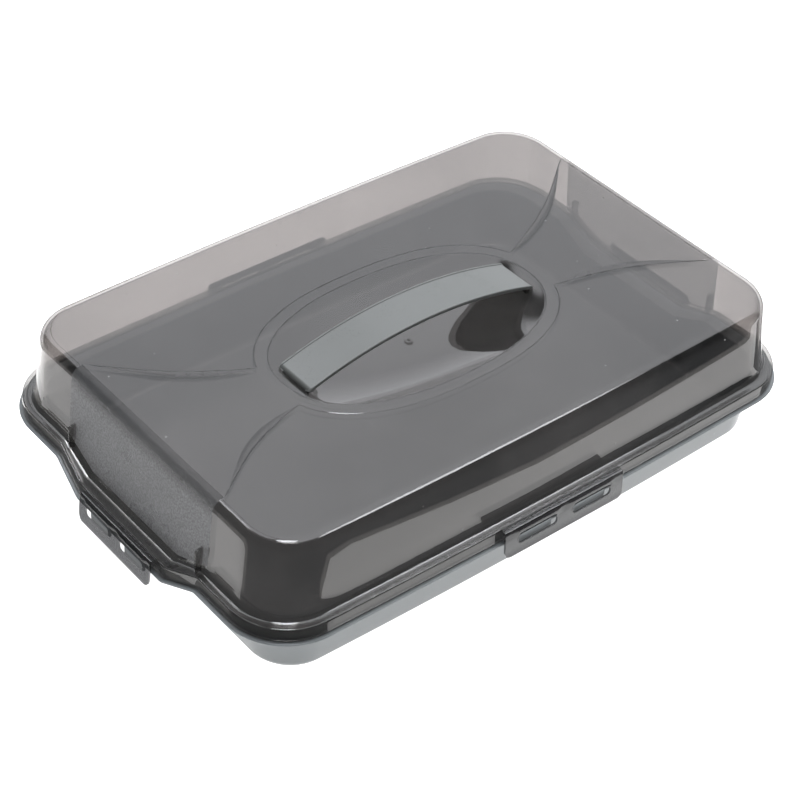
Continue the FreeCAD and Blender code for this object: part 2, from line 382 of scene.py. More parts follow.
def fine_dust(n, scale, size):
    """Sparse specks of dust: 0 or 1."""
    v = n.add("ShaderNodeTexVoronoi", {"Vector": n.place(), "Scale": scale})
    cell = n.add("ShaderNodeSeparateColor", {"Color": v.outputs["Color"]}).outputs[0]
    few = n.math("GREATER_THAN", cell, 0.62)
    near = n.math("LESS_THAN", v.outputs["Distance"], size)
    return n.math("MULTIPLY", few, near)


def smoked(name, smears, tint, grain=0.0):
    """Smoke-tinted clear plastic: straight through with a tint, a mirror share that grows at a
    slant, and a little dust and smear on top."""
    n = Nodes(name)
    flow = n.noise(7.0, 3, (1, 9, 5), 0.55)
    smear = n.noise(38.0, 4, EVEN, 0.6)
    peel = n.noise(60.0, 2)
    rough = n.math("ADD", n.remap(smear, 0.35, 0.75, 0.012, 0.035),
                   n.remap(flow, 0.4, 0.7, 0.0, 0.01))
    normal = n.bump(peel, 0.012, 0.0003)
    normal = n.bump(flow, 0.006, 0.0005, normal)
    if grain:
        fine = n.noise(1300.0, 3, EVEN, 0.65)
        normal = n.bump(fine, 0.4 * grain, 0.00008, normal)
        rough = n.math("ADD", rough, 0.08 * grain)
    thick = n.noise(11.0, 2)
    see = n.clear(n.ramp(thick, [(0.3, scaled(tint, 0.965)), (0.7, tint)]))
    slant = n.add("ShaderNodeLayerWeight", {"Blend": 0.5, "Normal": normal}).outputs["Facing"]
    mirror = n.math("MULTIPLY_ADD", n.math("POWER", slant, 4.0), 0.95, 0.05)
    gloss = n.principled(WHITE, rough, Metallic=1.0, Normal=normal)
    body = n.mix(mirror, see, gloss)
    dust = n.principled((0.62, 0.62, 0.6, 1), 0.9)
    speck = n.math("MULTIPLY", fine_dust(n, 75.0, 0.045), 0.30)
    haze = n.math("MAXIMUM", speck, n.remap(smear, 0.5, 0.85, 0.0, smears))
    return n.out(n.mix(haze, body, dust))


def grained(name, tint, body, cover, thin_above=None):
    """The same plastic with a moulded pebble grain: hazy, with a broad broken gloss.

    cover is the share of haze. thin_above, two heights in metres, fades it between them, down to a
    quarter at the upper one, so the wall looks darker towards its top edge: painted shade."""
    n = Nodes(name)
    grain = n.noise(900.0, 2, EVEN, 0.6)
    patch = n.noise(22.0, 3)
    normal = n.bump(grain, 0.9, 0.0004)
    rough = n.remap(patch, 0.3, 0.7, 0.26, 0.34)
    col = n.ramp(grain, [(0.35, scaled(body, 0.8)), (0.65, scaled(body, 1.2))])
    see = n.clear((*tint, 1))
    haze = n.principled(col, rough, Normal=normal, IOR=IOR)
    share = n.remap(grain, 0.3, 0.7, cover - 0.06, cover + 0.06)
    # painted shade: less haze near the top edge darkens the upper end wall
    if thin_above:
        height = n.add("ShaderNodeSeparateXYZ", {"Vector": n.place()}).outputs["Z"]
        share = n.math("MULTIPLY", share, n.remap(height, *thin_above, 1.0, 0.25))
    return n.out(n.mix(share, see, haze))


def satin(name, colour, rough_lo, rough_hi):
    """Opaque moulded plastic with a fine satin grain, faint flow marks and rubbed patches."""
    n = Nodes(name)
    grain = n.noise(1400.0, 3, EVEN, 0.6)
    rub = n.noise(30.0, 4, EVEN, 0.6)
    flow = n.noise(6.0, 3, (1, 7, 4), 0.55)
    col = n.ramp(rub, [(0.3, scaled(colour, 0.98)), (0.7, scaled(colour, 1.02))])
    rough = n.math("ADD", n.remap(rub, 0.35, 0.75, rough_lo, rough_hi),
                   n.remap(grain, 0.3, 0.7, -0.02, 0.02))
    normal = n.bump(grain, 0.06, 0.0001)
    normal = n.bump(flow, 0.015, 0.0006, normal)
    speck = n.math("MULTIPLY", fine_dust(n, 90.0, 0.04), 0.35)
    col = n.add("ShaderNodeMix", {0: speck, 6: col, 7: (0.6, 0.6, 0.58, 1)},
                data_type="RGBA").outputs[2]
    return n.out(n.principled(col, rough, Normal=normal, IOR=IOR))


SMOKED = smoked("smoked_plastic", 0.02, (0.64, 0.622, 0.612))
SMOKED_FINE = smoked("smoked_fine_grain", 0.02, (0.64, 0.622, 0.612), 1.0)
SMOKED_EDGE = smoked("smoked_flange", 0.03, (0.6, 0.59, 0.58))
# painted shade: the clips and films get a much darker tint than the lid; part is the smoked
# plastic, part stands in for the table's shadow seen through them
SMOKED_CLIP_AND_SHADE = smoked("smoked_clip", 0.03, (0.38, 0.38, 0.385))
# painted shade: the haze fades above 86 mm so the grained end walls look darker under the top edge
GRAINED = grained("grained_smoked_shaded_top", (0.6, 0.585, 0.575), (0.25, 0.252, 0.255), 0.62,
                  (0.086, 0.101))
# painted shade: a near-black haze darkens the fine grooves and the flared lines, standing in for
# the shade in them
GROOVE = grained("smoked_groove_painted_shade", (0.5, 0.49, 0.485), (0.05, 0.05, 0.052), 0.7)
TRAY = satin("tray_plastic", (0.185, 0.2, 0.203), 0.16, 0.24)
STRAP = satin("handle_plastic", (0.168, 0.175, 0.168), 0.28, 0.31)


# ------------------------------------------------------------------ lid
LID_MATERIALS = [SMOKED, GRAINED, SMOKED_EDGE, SMOKED_FINE, GROOVE]
PICK_CLEAR, PICK_GRAIN, PICK_EDGE, PICK_FINE, PICK_LINE = range(5)

# gate mark at the bottom of the recess: radius, height
GATE = [
    (0.5, 0.3), (1.0, 0.35), (1.25, 0.8), (1.5, 0.95),
    (2.1, 0.95), (2.4, 0.8), (2.6, 0.1), (3.2, 0.0),
]
GATE_MIDDLE = 0.3
# rows of the recess, as shares of its rim, and the power its depth follows
BOWL_SHARES = [
    0.1, 0.18, 0.27, 0.36, 0.45, 0.54, 0.62, 0.69,
    0.76, 0.82, 0.87, 0.91, 0.94, 0.965, 0.985, 0.997,
]
BOWL_POWER = 2.1
# rows of the dished top, as shares of the way from the top edge to the ring
DISH_SHARES = [
    0.996, 0.98, 0.95, 0.9, 0.82, 0.73, 0.64, 0.55,
    0.46, 0.37, 0.28, 0.2, 0.13, 0.07, 0.03, 0.01,
]
# fine grooves: beyond the rim and its height, beyond the ring and whether it is cut there
GROOVE_DEEP = 0.24
RIM_GROOVE = [(0.0, -0.02), (0.3, -GROOVE_DEEP), (0.65, -GROOVE_DEEP), (0.95, 0.0), (1.2, 0.0)]
RING_GROOVE = [(-1.3, 0), (-1.0, 0), (-0.7, 1), (-0.3, 1), (0.0, 0)]
FLARE_DEEP = 0.12
EDGE_STEPS, EDGE_TURN = 10, 98.0
FOOT_STEPS, SKIRT_STEPS, INNER_FOOT_STEPS = 7, 5, 6
WALL_SHARES = [0.03, 0.1, 0.3, 0.5, 0.7, 0.85, 0.95]
INNER_WALL_SHARES = [0.93, 0.85, 0.6, 0.35, 0.1]
# section of the skirt below its rounding: beyond the flange edge, above the flange top or the foot
SKIRT_FOOT = [(-0.08, 1.3), (0.0, 0.55), (-0.25, 0.12), (-0.55, 0.0), (-1.35, 0.0), (-1.7, 0.3)]


def beyond_curve(p, k):
    """A curve around the middle, moved k outward."""
    return p * (1 + k / np.linalg.norm(p, axis=1))[:, None]


def polar(p):
    return np.arctan2(p[:, 1], p[:, 0]), np.hypot(p[:, 0], p[:, 1])


def lid_parts():
    lev = level()
    foot0 = quarter(FOOT)
    top0 = quarter(TOP)
    normal = quarter(FOOT, 1.0) - foot0

    def wall(z, inset=0.0):
        """The wall's outline at height z, inset along its normal."""
        t = ((z - Z_FLANGE) / (Z_TOP - Z_FLANGE) * ONE)[:, None]
        return foot0 + (top0 - foot0) * t - normal * inset

    def wall_row(share, inset=0.0):
        """A share of the way down from the rounded edge to the fillet."""
        z = (Z_TOP - EDGE_R) * (1 - share) + (lev + FOOT_R) * share
        return row(wall(z, inset), z)

    def edge_rows(r):
        """Rounded top edge of radius r, from the dish over the crest to the wall."""
        rows = []
        for k in range(EDGE_STEPS, -1, -1):
            phi = math.radians(EDGE_TURN * k / EDGE_STEPS)
            z = Z_TOP - EDGE_R + r * math.sin(phi)
            rows.append(row(wall(z, EDGE_R - r * math.cos(phi)), z))
        return rows

    edge = edge_rows(EDGE_R)
    dish0, z_dish = edge[0][:, :2], edge[0][0, 2]
    ring = inner_curve(RING, FLARE[-1][1], dish0)
    rim = inner_curve(RIM, FLARE_RIM_Y, dish0)
    middle = rim * 0.5 + ring * 0.5
    flare = np.array(FLARE, float)
    flare_share = (flare[0, 0] - flare[:, 0]) / (flare[0, 0] - flare[-1, 0])
    ends = slice(0, FROST_COL + 1)
    sides = slice(FROST_COL, None)
    end_share = np.array(SIDE[ends]) / SIDE[FROST_COL]
    fade = ((1 - shares(dish0[sides])) ** 3)[:, None]
    dish_polar, ring_polar = polar(dish0), polar(ring)

    def dish_height(p):
        """Height of the dish at each point, by how far it lies from the edge towards the ring."""
        a, r = polar(p)
        far, near = np.interp(a, *dish_polar), np.interp(a, *ring_polar)
        return z_dish + (Z_RING - z_dish) * np.clip((far - r) / (far - near), 0, 1)

    def dish_row(s, lower=0.0):
        """A row of the dish, its columns drawn to the flared line.

        Known fault: the column on the line takes the shift twice, so the mesh folds there."""
        p = dish0 * (1 - s) + ring * s
        before = p[FROST_COL, 1]
        line_y = np.interp(s, flare_share, flare[:, 1])
        p[ends, 1] = end_share * line_y
        p[sides] += np.array([0.0, line_y - before]) * fade
        return row(p, dish_height(p) - lower)

    angle = np.arctan2(rim[:, 1], rim[:, 0])
    circle = np.stack([np.cos(angle), np.sin(angle)], 1)
    reach = np.sqrt((np.cos(angle) / RIM[0]) ** 2 + (np.sin(angle) / RIM[1]) ** 2)
    oval = circle / reach[:, None]
    deep = Z_RING - Z_BOWL

    def bowl_row(share, under=0.0):
        """A row of the recess: an oval inside, turning into the rim's shape.

        With under, the row that far below the surface."""
        p = (rim * share + oval * (1 - share)) * share
        z = Z_RING - deep * (1 - share ** BOWL_POWER)
        if under:
            far = np.linalg.norm(rim, axis=1)
            slope = np.arctan(deep * BOWL_POWER * share ** (BOWL_POWER - 1) / far)
            p = p * (1 + under * np.sin(slope) / (far * share))[:, None]
            z = z - under * np.cos(slope)
        return row(p, z)

    flare_cut = np.zeros(Q)
    flare_cut[FROST_COL] = -FLARE_DEEP
    long_sides = np.where(np.arange(Q) > FROST_COL + 1, 1.0, 0.0)

    # outer surface, from the middle of the recess to the foot of the skirt
    outer = [row(circle * r, Z_BOWL + z) for r, z in GATE]
    outer += [bowl_row(s) for s in BOWL_SHARES]
    rim_at = len(outer)
    outer += [row(beyond_curve(rim, k), Z_RING + dz) for k, dz in RIM_GROOVE]
    outer.append(row(middle, Z_RING))
    ring_at = len(outer)
    for k, cut in RING_GROOVE:
        outer.append(row(beyond_curve(ring, k), Z_RING - GROOVE_DEEP * long_sides * cut))
    for s in DISH_SHARES:
        r = dish_row(s)
        r[:, 2] += flare_cut
        outer.append(r)
    edge_at = len(outer)
    for k, r in enumerate(edge_rows(EDGE_R)):
        r[:, 2] += flare_cut * max(0.0, 1 - k / 2)
        outer.append(r)
    outer += [wall_row(t) for t in WALL_SHARES]
    foot_at = len(outer)
    for k in range(FOOT_STEPS + 1):
        phi = math.radians(90.0 * k / FOOT_STEPS)
        out = FOOT_R * (1 - math.cos(phi))
        outer.append(row(wall(lev) + normal * out, lev + FOOT_R * (1 - math.sin(phi))))
    for k in range(SKIRT_STEPS + 1):
        phi = math.radians(90.0 * k / SKIRT_STEPS)
        out = -SKIRT_R + SKIRT_R * math.sin(phi)
        outer.append(flange_row(out, lev - SKIRT_R + SKIRT_R * math.cos(phi)))
    outer.append(flange_row(0.12, lev - 2.6))
    skirt_foot = [flange_row(SKIRT_DRAFT + d, lev - SKIRT + z) for d, z in SKIRT_FOOT]
    outer += skirt_foot[:4]

    # inner surface, back to the middle
    inner = skirt_foot[4:]
    inner.append(flange_row(-SKIRT_T, lev - T_LID - 0.6))
    inner.append(flange_row(-SKIRT_T - 0.6, lev - T_LID))
    big = FOOT_R + T_LID
    for k in range(INNER_FOOT_STEPS, -1, -1):
        phi = math.radians(90.0 * k / INNER_FOOT_STEPS)
        xy = wall(lev) + normal * (FOOT_R - big * math.cos(phi))
        inner.append(row(xy, lev + FOOT_R - big * math.sin(phi)))
    inner += [wall_row(t, T_LID) for t in INNER_WALL_SHARES]
    inner += edge_rows(EDGE_R - T_LID)[::-1]
    inner += [dish_row(s, T_LID) for s in DISH_SHARES[::-1]]
    inner += [row(p, Z_RING - T_LID) for p in (ring, middle, rim * 1.02)]
    inner += [bowl_row(s, T_LID) for s in BOWL_SHARES[::-1]]
    inner += [row(circle * r, Z_BOWL - T_LID) for r in (4.0, 1.0)]

    rows = [around(r) for r in outer + inner]
    poles = [0, 0, Z_BOWL + GATE_MIDDLE], [0, 0, Z_BOWL - T_LID]
    verts, faces, tags = poled(rows, *poles)

    n = len(rows[0])
    opposite = 2 * (Q - 1)

    def end_columns(last):
        """Columns of both short ends, out to the one given."""
        on = np.zeros(n, bool)
        on[:last] = True
        on[n - last:] = True
        on[opposite - last:opposite + last] = True
        return on

    between = end_columns(FROST_COL)          # between the flared lines
    with_line = end_columns(FROST_COL + 1)    # and one column more
    edge_from, edge_to = foot_at, len(outer) + 10

    def pick(i, j):
        on_ring = i in (ring_at + 2, ring_at + 3) and not with_line[j]
        on_flare = with_line[j] and not between[j] and ring_at + 2 < i < edge_at
        if i in (rim_at + 1, rim_at + 2) or on_ring or on_flare:
            return PICK_LINE
        if between[j] and edge_at <= i < edge_from:
            return PICK_GRAIN
        if between[j] and rim_at <= i < edge_at:
            return PICK_FINE
        return PICK_EDGE if edge_from <= i < edge_to else PICK_CLEAR

    picks = [pick(i, j) for i, j in tags] + [PICK_CLEAR] * (2 * n)
    return verts, faces, picks


# ribs beside the grips: outline in x and z, distance from the middle, half thickness
RIB = [
    (206.2, 45.4), (210.6, 45.4), (210.5, 52.0), (210.25, 60.2),
    (209.8, 61.3), (208.8, 62.2), (204.8, 63.0), (205.4, 54.0),
]
RIB_Y, RIB_HALF = 66.0, 1.0


def rib_parts():
    out = []
    for sx in (-1, 1):
        for sy in (-1, 1):
            points = [(sx * x, z) for x, z in RIB]
            v, f = slab(points, sy * RIB_Y - RIB_HALF, sy * RIB_Y + RIB_HALF)
            out.append((v, f, [PICK_EDGE] * len(f)))
    return out


def make_lid():
    verts, faces, picks = join_meshes([lid_parts()] + rib_parts())
    obj = make("lid_shell", verts, faces, LID_MATERIALS, picks)
    weighted(obj)
    return obj


# ------------------------------------------------------------------ tray
TUB_R = 6.0          # rounding between the tray's wall and its underside
TUB_R_IN = 4.5       # the same inside
TUB_TURN = 86        # how far round it goes, degrees
HOLLOW = 0.35        # how far the middle of the underside stands clear of the table

# catches: distance from the middle, half width, flange edge and flange top there
LUGS = [
    (22.0, 13.0, FLANGE[1], Z_FLANGE),
    (17.9, 10.0, FLANGE[0] + EAR_OUT, Z_EAR),
]


def lug_parts():
    """Catches on the lip, behind the slots of each clip."""
    out = []
    drop = SKIRT + GAP + LIP_T
    for s in (-1, 1):
        for c, h, edge, top in LUGS:
            lo, hi = top - drop - LUG_DOWN, top - drop + LUG_H
            a, b = edge + LUG_IN, edge + LIP_OUT + LUG_OUT
            pts = [
                (a, lo + 0.3), (a + 0.3, lo), (b - 0.5, lo), (b, lo + 0.5), (b, hi - 1.2),
                (b - 0.25, hi - 0.35), (b - 0.7, hi), (a + 0.3, hi), (a, hi - 0.3),
            ]
            for m in (-1, 1):
                v, f = slab([(s * x, w) for x, w in pts], m * c - h, m * c + h)
                if s < 0:
                    f = [t[::-1] for t in f]
                if top == Z_FLANGE:
                    v = v[:, [1, 0, 2]]
                    f = [t[::-1] for t in f]
                out.append((v, f, [0] * len(f)))
    return out


def make_tray():
    lev = level()
    bot0 = quarter(BOTTOM)
    top0 = quarter(WALL)
    normal = quarter(WALL, 1.0) - top0
    z_rim = Z_FLANGE - T_LID - GAP

    def wall(z, inset=0.0):
        """The tub's outline at height z, inset along its normal."""
        t = ((z * ONE) / z_rim)[:, None]
        return bot0 + (top0 - bot0) * t - normal * inset

    def foot_row(r, k, steps, lift=0.0):
        """A row of the rounding between underside and wall, inside it when lifted."""
        phi = math.radians(TUB_TURN * k / steps)
        z = r - r * math.cos(phi)
        return row(wall(z, lift + r - r * math.sin(phi)), lift + r - r * math.cos(phi))

    hi = lev - T_LID - GAP       # top of the rim
    lo = lev - SKIRT - GAP       # top of the lip
    web = -SKIRT_T - GAP         # outer face of the rim, from the flange edge
    back = web - T_BASE

    # underside and outer wall
    rows = [row(bot0 * k, HOLLOW) for k in (0.03, 0.3, 0.6)]
    rows.append(row(bot0 * 0.85, 0.3))
    rows.append(row(quarter(BOTTOM, -12), 0.25))
    rows.append(row(quarter(BOTTOM, -10.5), 0.0))
    rows += [foot_row(TUB_R, k, 8) for k in range(9)]
    for t in (0.12, 0.4, 0.7, 0.95):
        z = TUB_R * (1 - t) + (hi - T_BASE - 1.5) * t
        rows.append(row(wall(z), z))
    rows.append(row(wall(hi - T_BASE) + normal * 0.4, hi - T_BASE - 0.5))
    rows.append(row(wall(hi - T_BASE) + normal * 1.4, hi - T_BASE))
    # under the rim, round the lip and up the rim's outer face: from the flange edge, height
    for d, z in [
        (back - 1.0, hi - T_BASE), (back, hi - T_BASE - 1.0),
        (back, lo - LIP_T + 0.5), (back + 0.5, lo - LIP_T),
        (LIP_OUT - 0.8, lo - LIP_T), (LIP_OUT - 0.3, lo - LIP_T + 0.15),
        (LIP_OUT, lo - LIP_T + 0.6), (LIP_OUT, lo - 0.6),
        (LIP_OUT - 0.3, lo - 0.15), (LIP_OUT - 0.8, lo),
        (web + 0.6, lo), (web, lo + 0.6),
        (web, hi - 0.9), (web - 0.3, hi - 0.25), (web - 0.9, hi),
    ]:
        rows.append(flange_row(d, z))
    # inner wall and floor
    rows.append(row(wall(hi, T_BASE - 1.4), hi))
    rows.append(row(wall(hi, T_BASE - 0.4), hi - 0.3))
    rows.append(row(wall(hi, T_BASE), hi - 1.4))
    for t in (0.9, 0.5, 0.1):
        z = (T_BASE + TUB_R_IN) * (1 - t) + (hi - 2.0) * t
        rows.append(row(wall(z, T_BASE), z))
    rows += [foot_row(TUB_R_IN, k, 7, T_BASE) for k in range(7, -1, -1)]
    rows += [row(bot0 * k, T_BASE) for k in (0.9, 0.6, 0.3, 0.03)]

    rows = [around(r) for r in rows]
    verts, faces, _ = poled(rows, [0, 0, HOLLOW], [0, 0, T_BASE])
    tub = verts, faces, [0] * len(faces)
    verts, faces, picks = join_meshes([tub] + lug_parts())
    obj = make("tray_shell", verts, faces, [TRAY], picks)
    weighted(obj)
    return obj


# ------------------------------------------------------------------ strap
STRAP_HALF, STRAP_T = 15.2, 2.8
STRAP_RIM_W, STRAP_RIM_H = 1.2, 0.5
STRAP_END_X = 88.6        # where the arch bends down into the lid
STRAP_ARC_X = 92.2        # where the arch would meet the lid
STRAP_BEND_R = 3.2
TAB_TOP_Z = 86.35         # the tabs are narrower than the strap below this height
TAB_NARROWER = 3.0
ARCH_STEPS, BEND_STEPS = 40, 8


def strap_section():
    """Half widths and depths round the strap: a sunk top between two fine rims, flat below."""
    half, rim = STRAP_HALF, STRAP_RIM_H
    inside = -half + STRAP_RIM_W
    top = [
        (-half, -0.5), (-half + 0.15, -0.12), (-half + 0.5, 0.0), (inside - 0.1, 0.0),
        (inside + 0.05, -0.08), (inside + 0.15, -rim + 0.08), (inside + 0.3, -rim),
        (-9.0, -rim), (-4.0, -rim), (0.0, -rim),
    ]
    under = [
        (half, -STRAP_T + 0.8), (half - 0.2, -STRAP_T + 0.3), (half - 0.8, -STRAP_T),
        (9.0, -STRAP_T), (0, -STRAP_T),
    ]
    mirrored = [[(-y, d) for y, d in line[:-1][::-1]] for line in (top, under)]
    return top + mirrored[0] + under + mirrored[1]


def make_strap():
    sag = Z_HANDLE - (Z_RING + 0.4)
    arch_r = (STRAP_ARC_X * STRAP_ARC_X + sag * sag) / (2 * sag)
    zc = Z_HANDLE - arch_r
    t_end = math.asin(STRAP_END_X / arch_r)
    # middle of the top face: x, z and the tilt of its normal
    arch = []
    for k in range(ARCH_STEPS + 1):
        t = -t_end + 2 * t_end * k / ARCH_STEPS
        arch.append((arch_r * math.sin(t), zc + arch_r * math.cos(t), t))

    def tail(s):
        """The bend at one end and the tab below it."""
        cx = s * arch_r * math.sin(t_end) - s * STRAP_BEND_R * math.sin(t_end)
        cz = zc + arch_r * math.cos(t_end) - STRAP_BEND_R * math.cos(t_end)
        pts = []
        for k in range(1, BEND_STEPS + 1):
            t = t_end + (math.pi / 2 - t_end) * k / BEND_STEPS
            x = cx + s * STRAP_BEND_R * math.sin(t)
            pts.append((x, cz + STRAP_BEND_R * math.cos(t), s * t))
        x, z, t = pts[-1]
        return pts + [(x, z - dz, t) for dz in (0.3, 0.7, 1.2, 2.0, 3.0, 4.6, 5.0)]

    section = strap_section()
    rows = []
    for x, z, t in tail(-1)[::-1] + arch + tail(1):
        below = max(0.0, TAB_TOP_Z - z)
        k = 1.0 - (TAB_NARROWER / STRAP_HALF) * min(1.0, below / 0.5)
        nx, nz = math.sin(t), math.cos(t)
        rows.append(np.array([(x + nx * d, y * k, z + nz * d) for y, d in section]))
    obj = make("strap", *capped(rows), [STRAP])
    weighted(obj)
    return obj


# ------------------------------------------------------------------ clips
# section of a clip from its hinge down: distance outward, height from the flange top
CLIP_OUTER = [
    (0.35, 0.3), (1.4, 0.36), (2.5, 0.35), (3.2, 0.15), (3.75, -0.3), (4.1, -1.0), (4.35, -2.0),
    (4.65, -4.6), (5.1, -9.2), (5.35, -13.2), (5.5, -15.6), (5.75, -17.3), (6.3, -18.9),
]
CLIP_INNER = [
    (0.35, -0.22), (1.3, -0.22), (2.1, -0.3), (2.5, -0.6), (2.75, -1.1), (2.9, -1.9), (3.0, -2.8),
    (3.2, -5.0), (3.6, -9.2), (3.95, -13.2), (4.15, -15.6), (4.4, -17.5), (4.9, -18.9),
]
SLOT_TOP, SLOT_FOOT = -5.8, -12.2
SLOT_R = 2.4
CORNER_R = 4.5
EASE, EASE_2 = 0.29, 0.62      # extra stations within a rounding, as shares of its radius
BULGE = 0.55                   # swelling of the clip above each slot
NEAR = 1e-6


def corner_point(s, t, half, end):
    """A point of the clip's grid, moved so that the lower corners come out round."""
    a, b = half - abs(s), end - t
    on_edge = (a < NEAR and b < CORNER_R) or (b < NEAR and a < CORNER_R)
    if not on_edge and not (a < CORNER_R and b < CORNER_R):
        return s, t
    sign = 1 if s >= 0 else -1
    dx, dy = CORNER_R - a, CORNER_R - b
    far = math.hypot(dx, dy)
    r = CORNER_R if on_edge else max(dx, dy)
    return sign * (half - CORNER_R + dx / far * r), end - CORNER_R + dy / far * r


def slot_point(s, t, s0, s1, t0, t1):
    """A point on a slot's outline near its corner, moved to round it; None for any other point."""
    on_s = min(abs(abs(s) - s0), abs(abs(s) - s1))
    on_t = min(abs(t - t0), abs(t - t1))
    inside = s0 - NEAR <= abs(s) <= s1 + NEAR and t0 - NEAR <= t <= t1 + NEAR
    if not inside or min(on_s, on_t) >= NEAR or max(on_s, on_t) >= SLOT_R:
        return None
    sign = 1 if s >= 0 else -1
    cx = s0 + SLOT_R if abs(abs(s) - s0) < SLOT_R + NEAR else s1 - SLOT_R
    cy = t0 + SLOT_R if abs(t - t0) < SLOT_R + NEAR else t1 - SLOT_R
    dx, dy = abs(s) - cx, t - cy
    r = math.hypot(dx, dy)
    return sign * (cx + dx / r * SLOT_R), cy + dy / r * SLOT_R


def clip_columns(half, s0, s1):
    """Stations along a clip, with more of them at the slots and the lower corners."""
    ss = [0.0, 3.0, s0, s0 + SLOT_R * EASE, s0 + SLOT_R]
    k = s0 + SLOT_R
    while k + 3 < s1 - SLOT_R:
        k += 3.0
        ss.append(k)
    ss += [s1 - SLOT_R, s1 - SLOT_R * EASE, s1, s1 + 1.2]
    ss += [half - CORNER_R, half - CORNER_R * EASE_2, half - CORNER_R * EASE, half - 0.6, half]
    ss = sorted(set(round(v, 4) for v in ss))
    return [-v for v in ss[::-1][:-1]] + ss


def clip_rows(t0, t1, end):
    """Stations down a clip, as lengths along its outer section."""
    ts = [0, 0.5, 1.2, 2.0, 2.6, 3.1, 3.6, 4.1, 4.6, 5.2, 6.0, 6.9]
    ts += [t0, t0 + SLOT_R * EASE, t0 + SLOT_R, (t0 + t1) / 2]
    ts += [t1 - SLOT_R, t1 - SLOT_R * EASE, t1, t1 + 1.0]
    ts += [end - CORNER_R, end - CORNER_R * EASE_2, end - CORNER_R * EASE]
    ts += [end - 1.2, end - 0.5, end]
    ts = sorted(set(ts))
    return [t for k, t in enumerate(ts) if k == 0 or t - ts[k - 1] > 0.12]


def clip_mesh(half, s0, s1):
    """A clip of the given half width with a slot from s0 to s1 on either side of its middle."""
    po, pi = np.array(CLIP_OUTER), np.array(CLIP_INNER)
    so, si = run(po), run(pi)
    end = so[-1]
    t0, t1 = (float(np.interp(-z, -po[3:, 1], so[3:])) for z in (SLOT_TOP, SLOT_FOOT))
    ss, ts = clip_columns(half, s0, s1), clip_rows(t0, t1, end)
    n_s, n_t = len(ss), len(ts)
    S, T = (g.copy() for g in np.meshgrid(ss, ts, indexing="ij"))
    for i in range(n_s):
        for j in range(n_t):
            s, t = S[i, j], T[i, j]
            moved = slot_point(s, t, s0, s1, t0, t1) or corner_point(s, t, half, end)
            S[i, j], T[i, j] = moved

    outer = np.zeros((n_s, n_t, 3))
    inner = np.zeros((n_s, n_t, 3))
    for i in range(n_s):
        o = picked(po, so, T[i])
        q = picked(pi, si, np.interp(T[i], so, si))
        outer[i] = np.stack([S[i], -o[:, 0], o[:, 1]], 1)
        inner[i] = np.stack([S[i], -q[:, 0], q[:, 1]], 1)
        u = np.abs(S[i])
        across = np.clip((u - s0 + 1.8) / 1.6, 0, 1) * np.clip((s1 + 1.8 - u) / 1.6, 0, 1)
        down = np.clip((T[i] - 3.9) / 0.8, 0, 1) * np.clip((t0 - 0.15 - T[i]) / 0.9, 0, 1)
        outer[i, :, 1] -= BULGE * across * down
    verts = np.concatenate([outer.reshape(-1, 3), inner.reshape(-1, 3)])

    def in_slot(i, j):
        s, t = (abs(ss[i]) + abs(ss[i + 1])) / 2, (ts[j] + ts[j + 1]) / 2
        return s0 < s < s1 and ss[i] * ss[i + 1] > 0 and t0 < t < t1

    # both surfaces without the slots, then a strip along every free edge
    at = np.arange(n_s * n_t).reshape(n_s, n_t)
    off = n_s * n_t
    faces, edges = [], {}
    for i in range(n_s - 1):
        for j in range(n_t - 1):
            if in_slot(i, j):
                continue
            a, b, c, d = at[i, j], at[i + 1, j], at[i + 1, j + 1], at[i, j + 1]
            faces.append((a, b, c, d))
            faces.append((d + off, c + off, b + off, a + off))
            for e in ((a, b), (b, c), (c, d), (d, a)):
                key = tuple(sorted(e))
                edges[key] = None if key in edges else e
    for e in edges.values():
        if e is not None:
            a, b = e
            faces.append((b, a, a + off, b + off))
    used = sorted({v for f in faces for v in f})
    renumber = {v: k for k, v in enumerate(used)}
    return verts[used], [tuple(renumber[int(v)] for v in f) for f in faces]


def hinge(name):
    """Place and turn of a hinge, half width of its clip, start and end of the clip's slots."""
    y = FLANGE[1] + GAP
    x = FLANGE[0] + EAR_OUT + GAP
    return {
        "front": ((0, -y, Z_FLANGE), 0, 48.0, (6.5, 37.5)),
        "back": ((0, y, Z_FLANGE), 180, 48.0, (6.5, 37.5)),
        "left": ((-x, 0, Z_EAR), -90, 37.0, (5.6, 30.2)),
        "right": ((x, 0, Z_EAR), 90, 37.0, (5.6, 30.2)),
    }[name]


def turned(v, deg, p):
    """Points turned about Z and moved to p."""
    a = math.radians(deg)
    m = np.array([[math.cos(a), -math.sin(a), 0], [math.sin(a), math.cos(a), 0], [0, 0, 1]])
    return np.asarray(v) @ m.T + np.array(p)


def make_clip(name):
    p, deg, half, (s0, s1) = hinge(name)
    verts, faces = clip_mesh(half, s0, s1)
    obj = make("clip_plate_" + name, turned(verts, deg, p), faces, [SMOKED_CLIP_AND_SHADE])
    bevel = obj.modifiers.new("edges", "BEVEL")
    bevel.width = 0.22 * MM
    bevel.segments = 2
    bevel.limit_method = "ANGLE"
    bevel.angle_limit = math.radians(50)
    weighted(obj)
    return obj


# stations of a film hinge, from inside the flange edge to the top of the clip
FILM_STEPS = [-0.95, -0.8, -0.55, -0.3, -0.1, 0.1, 0.3, 0.5, 0.7, 0.85]


def film_half(u):
    """Half thickness of a film hinge, least at its middle."""
    return 0.26 + 0.1 * min(1.0, abs(u) / 0.7)


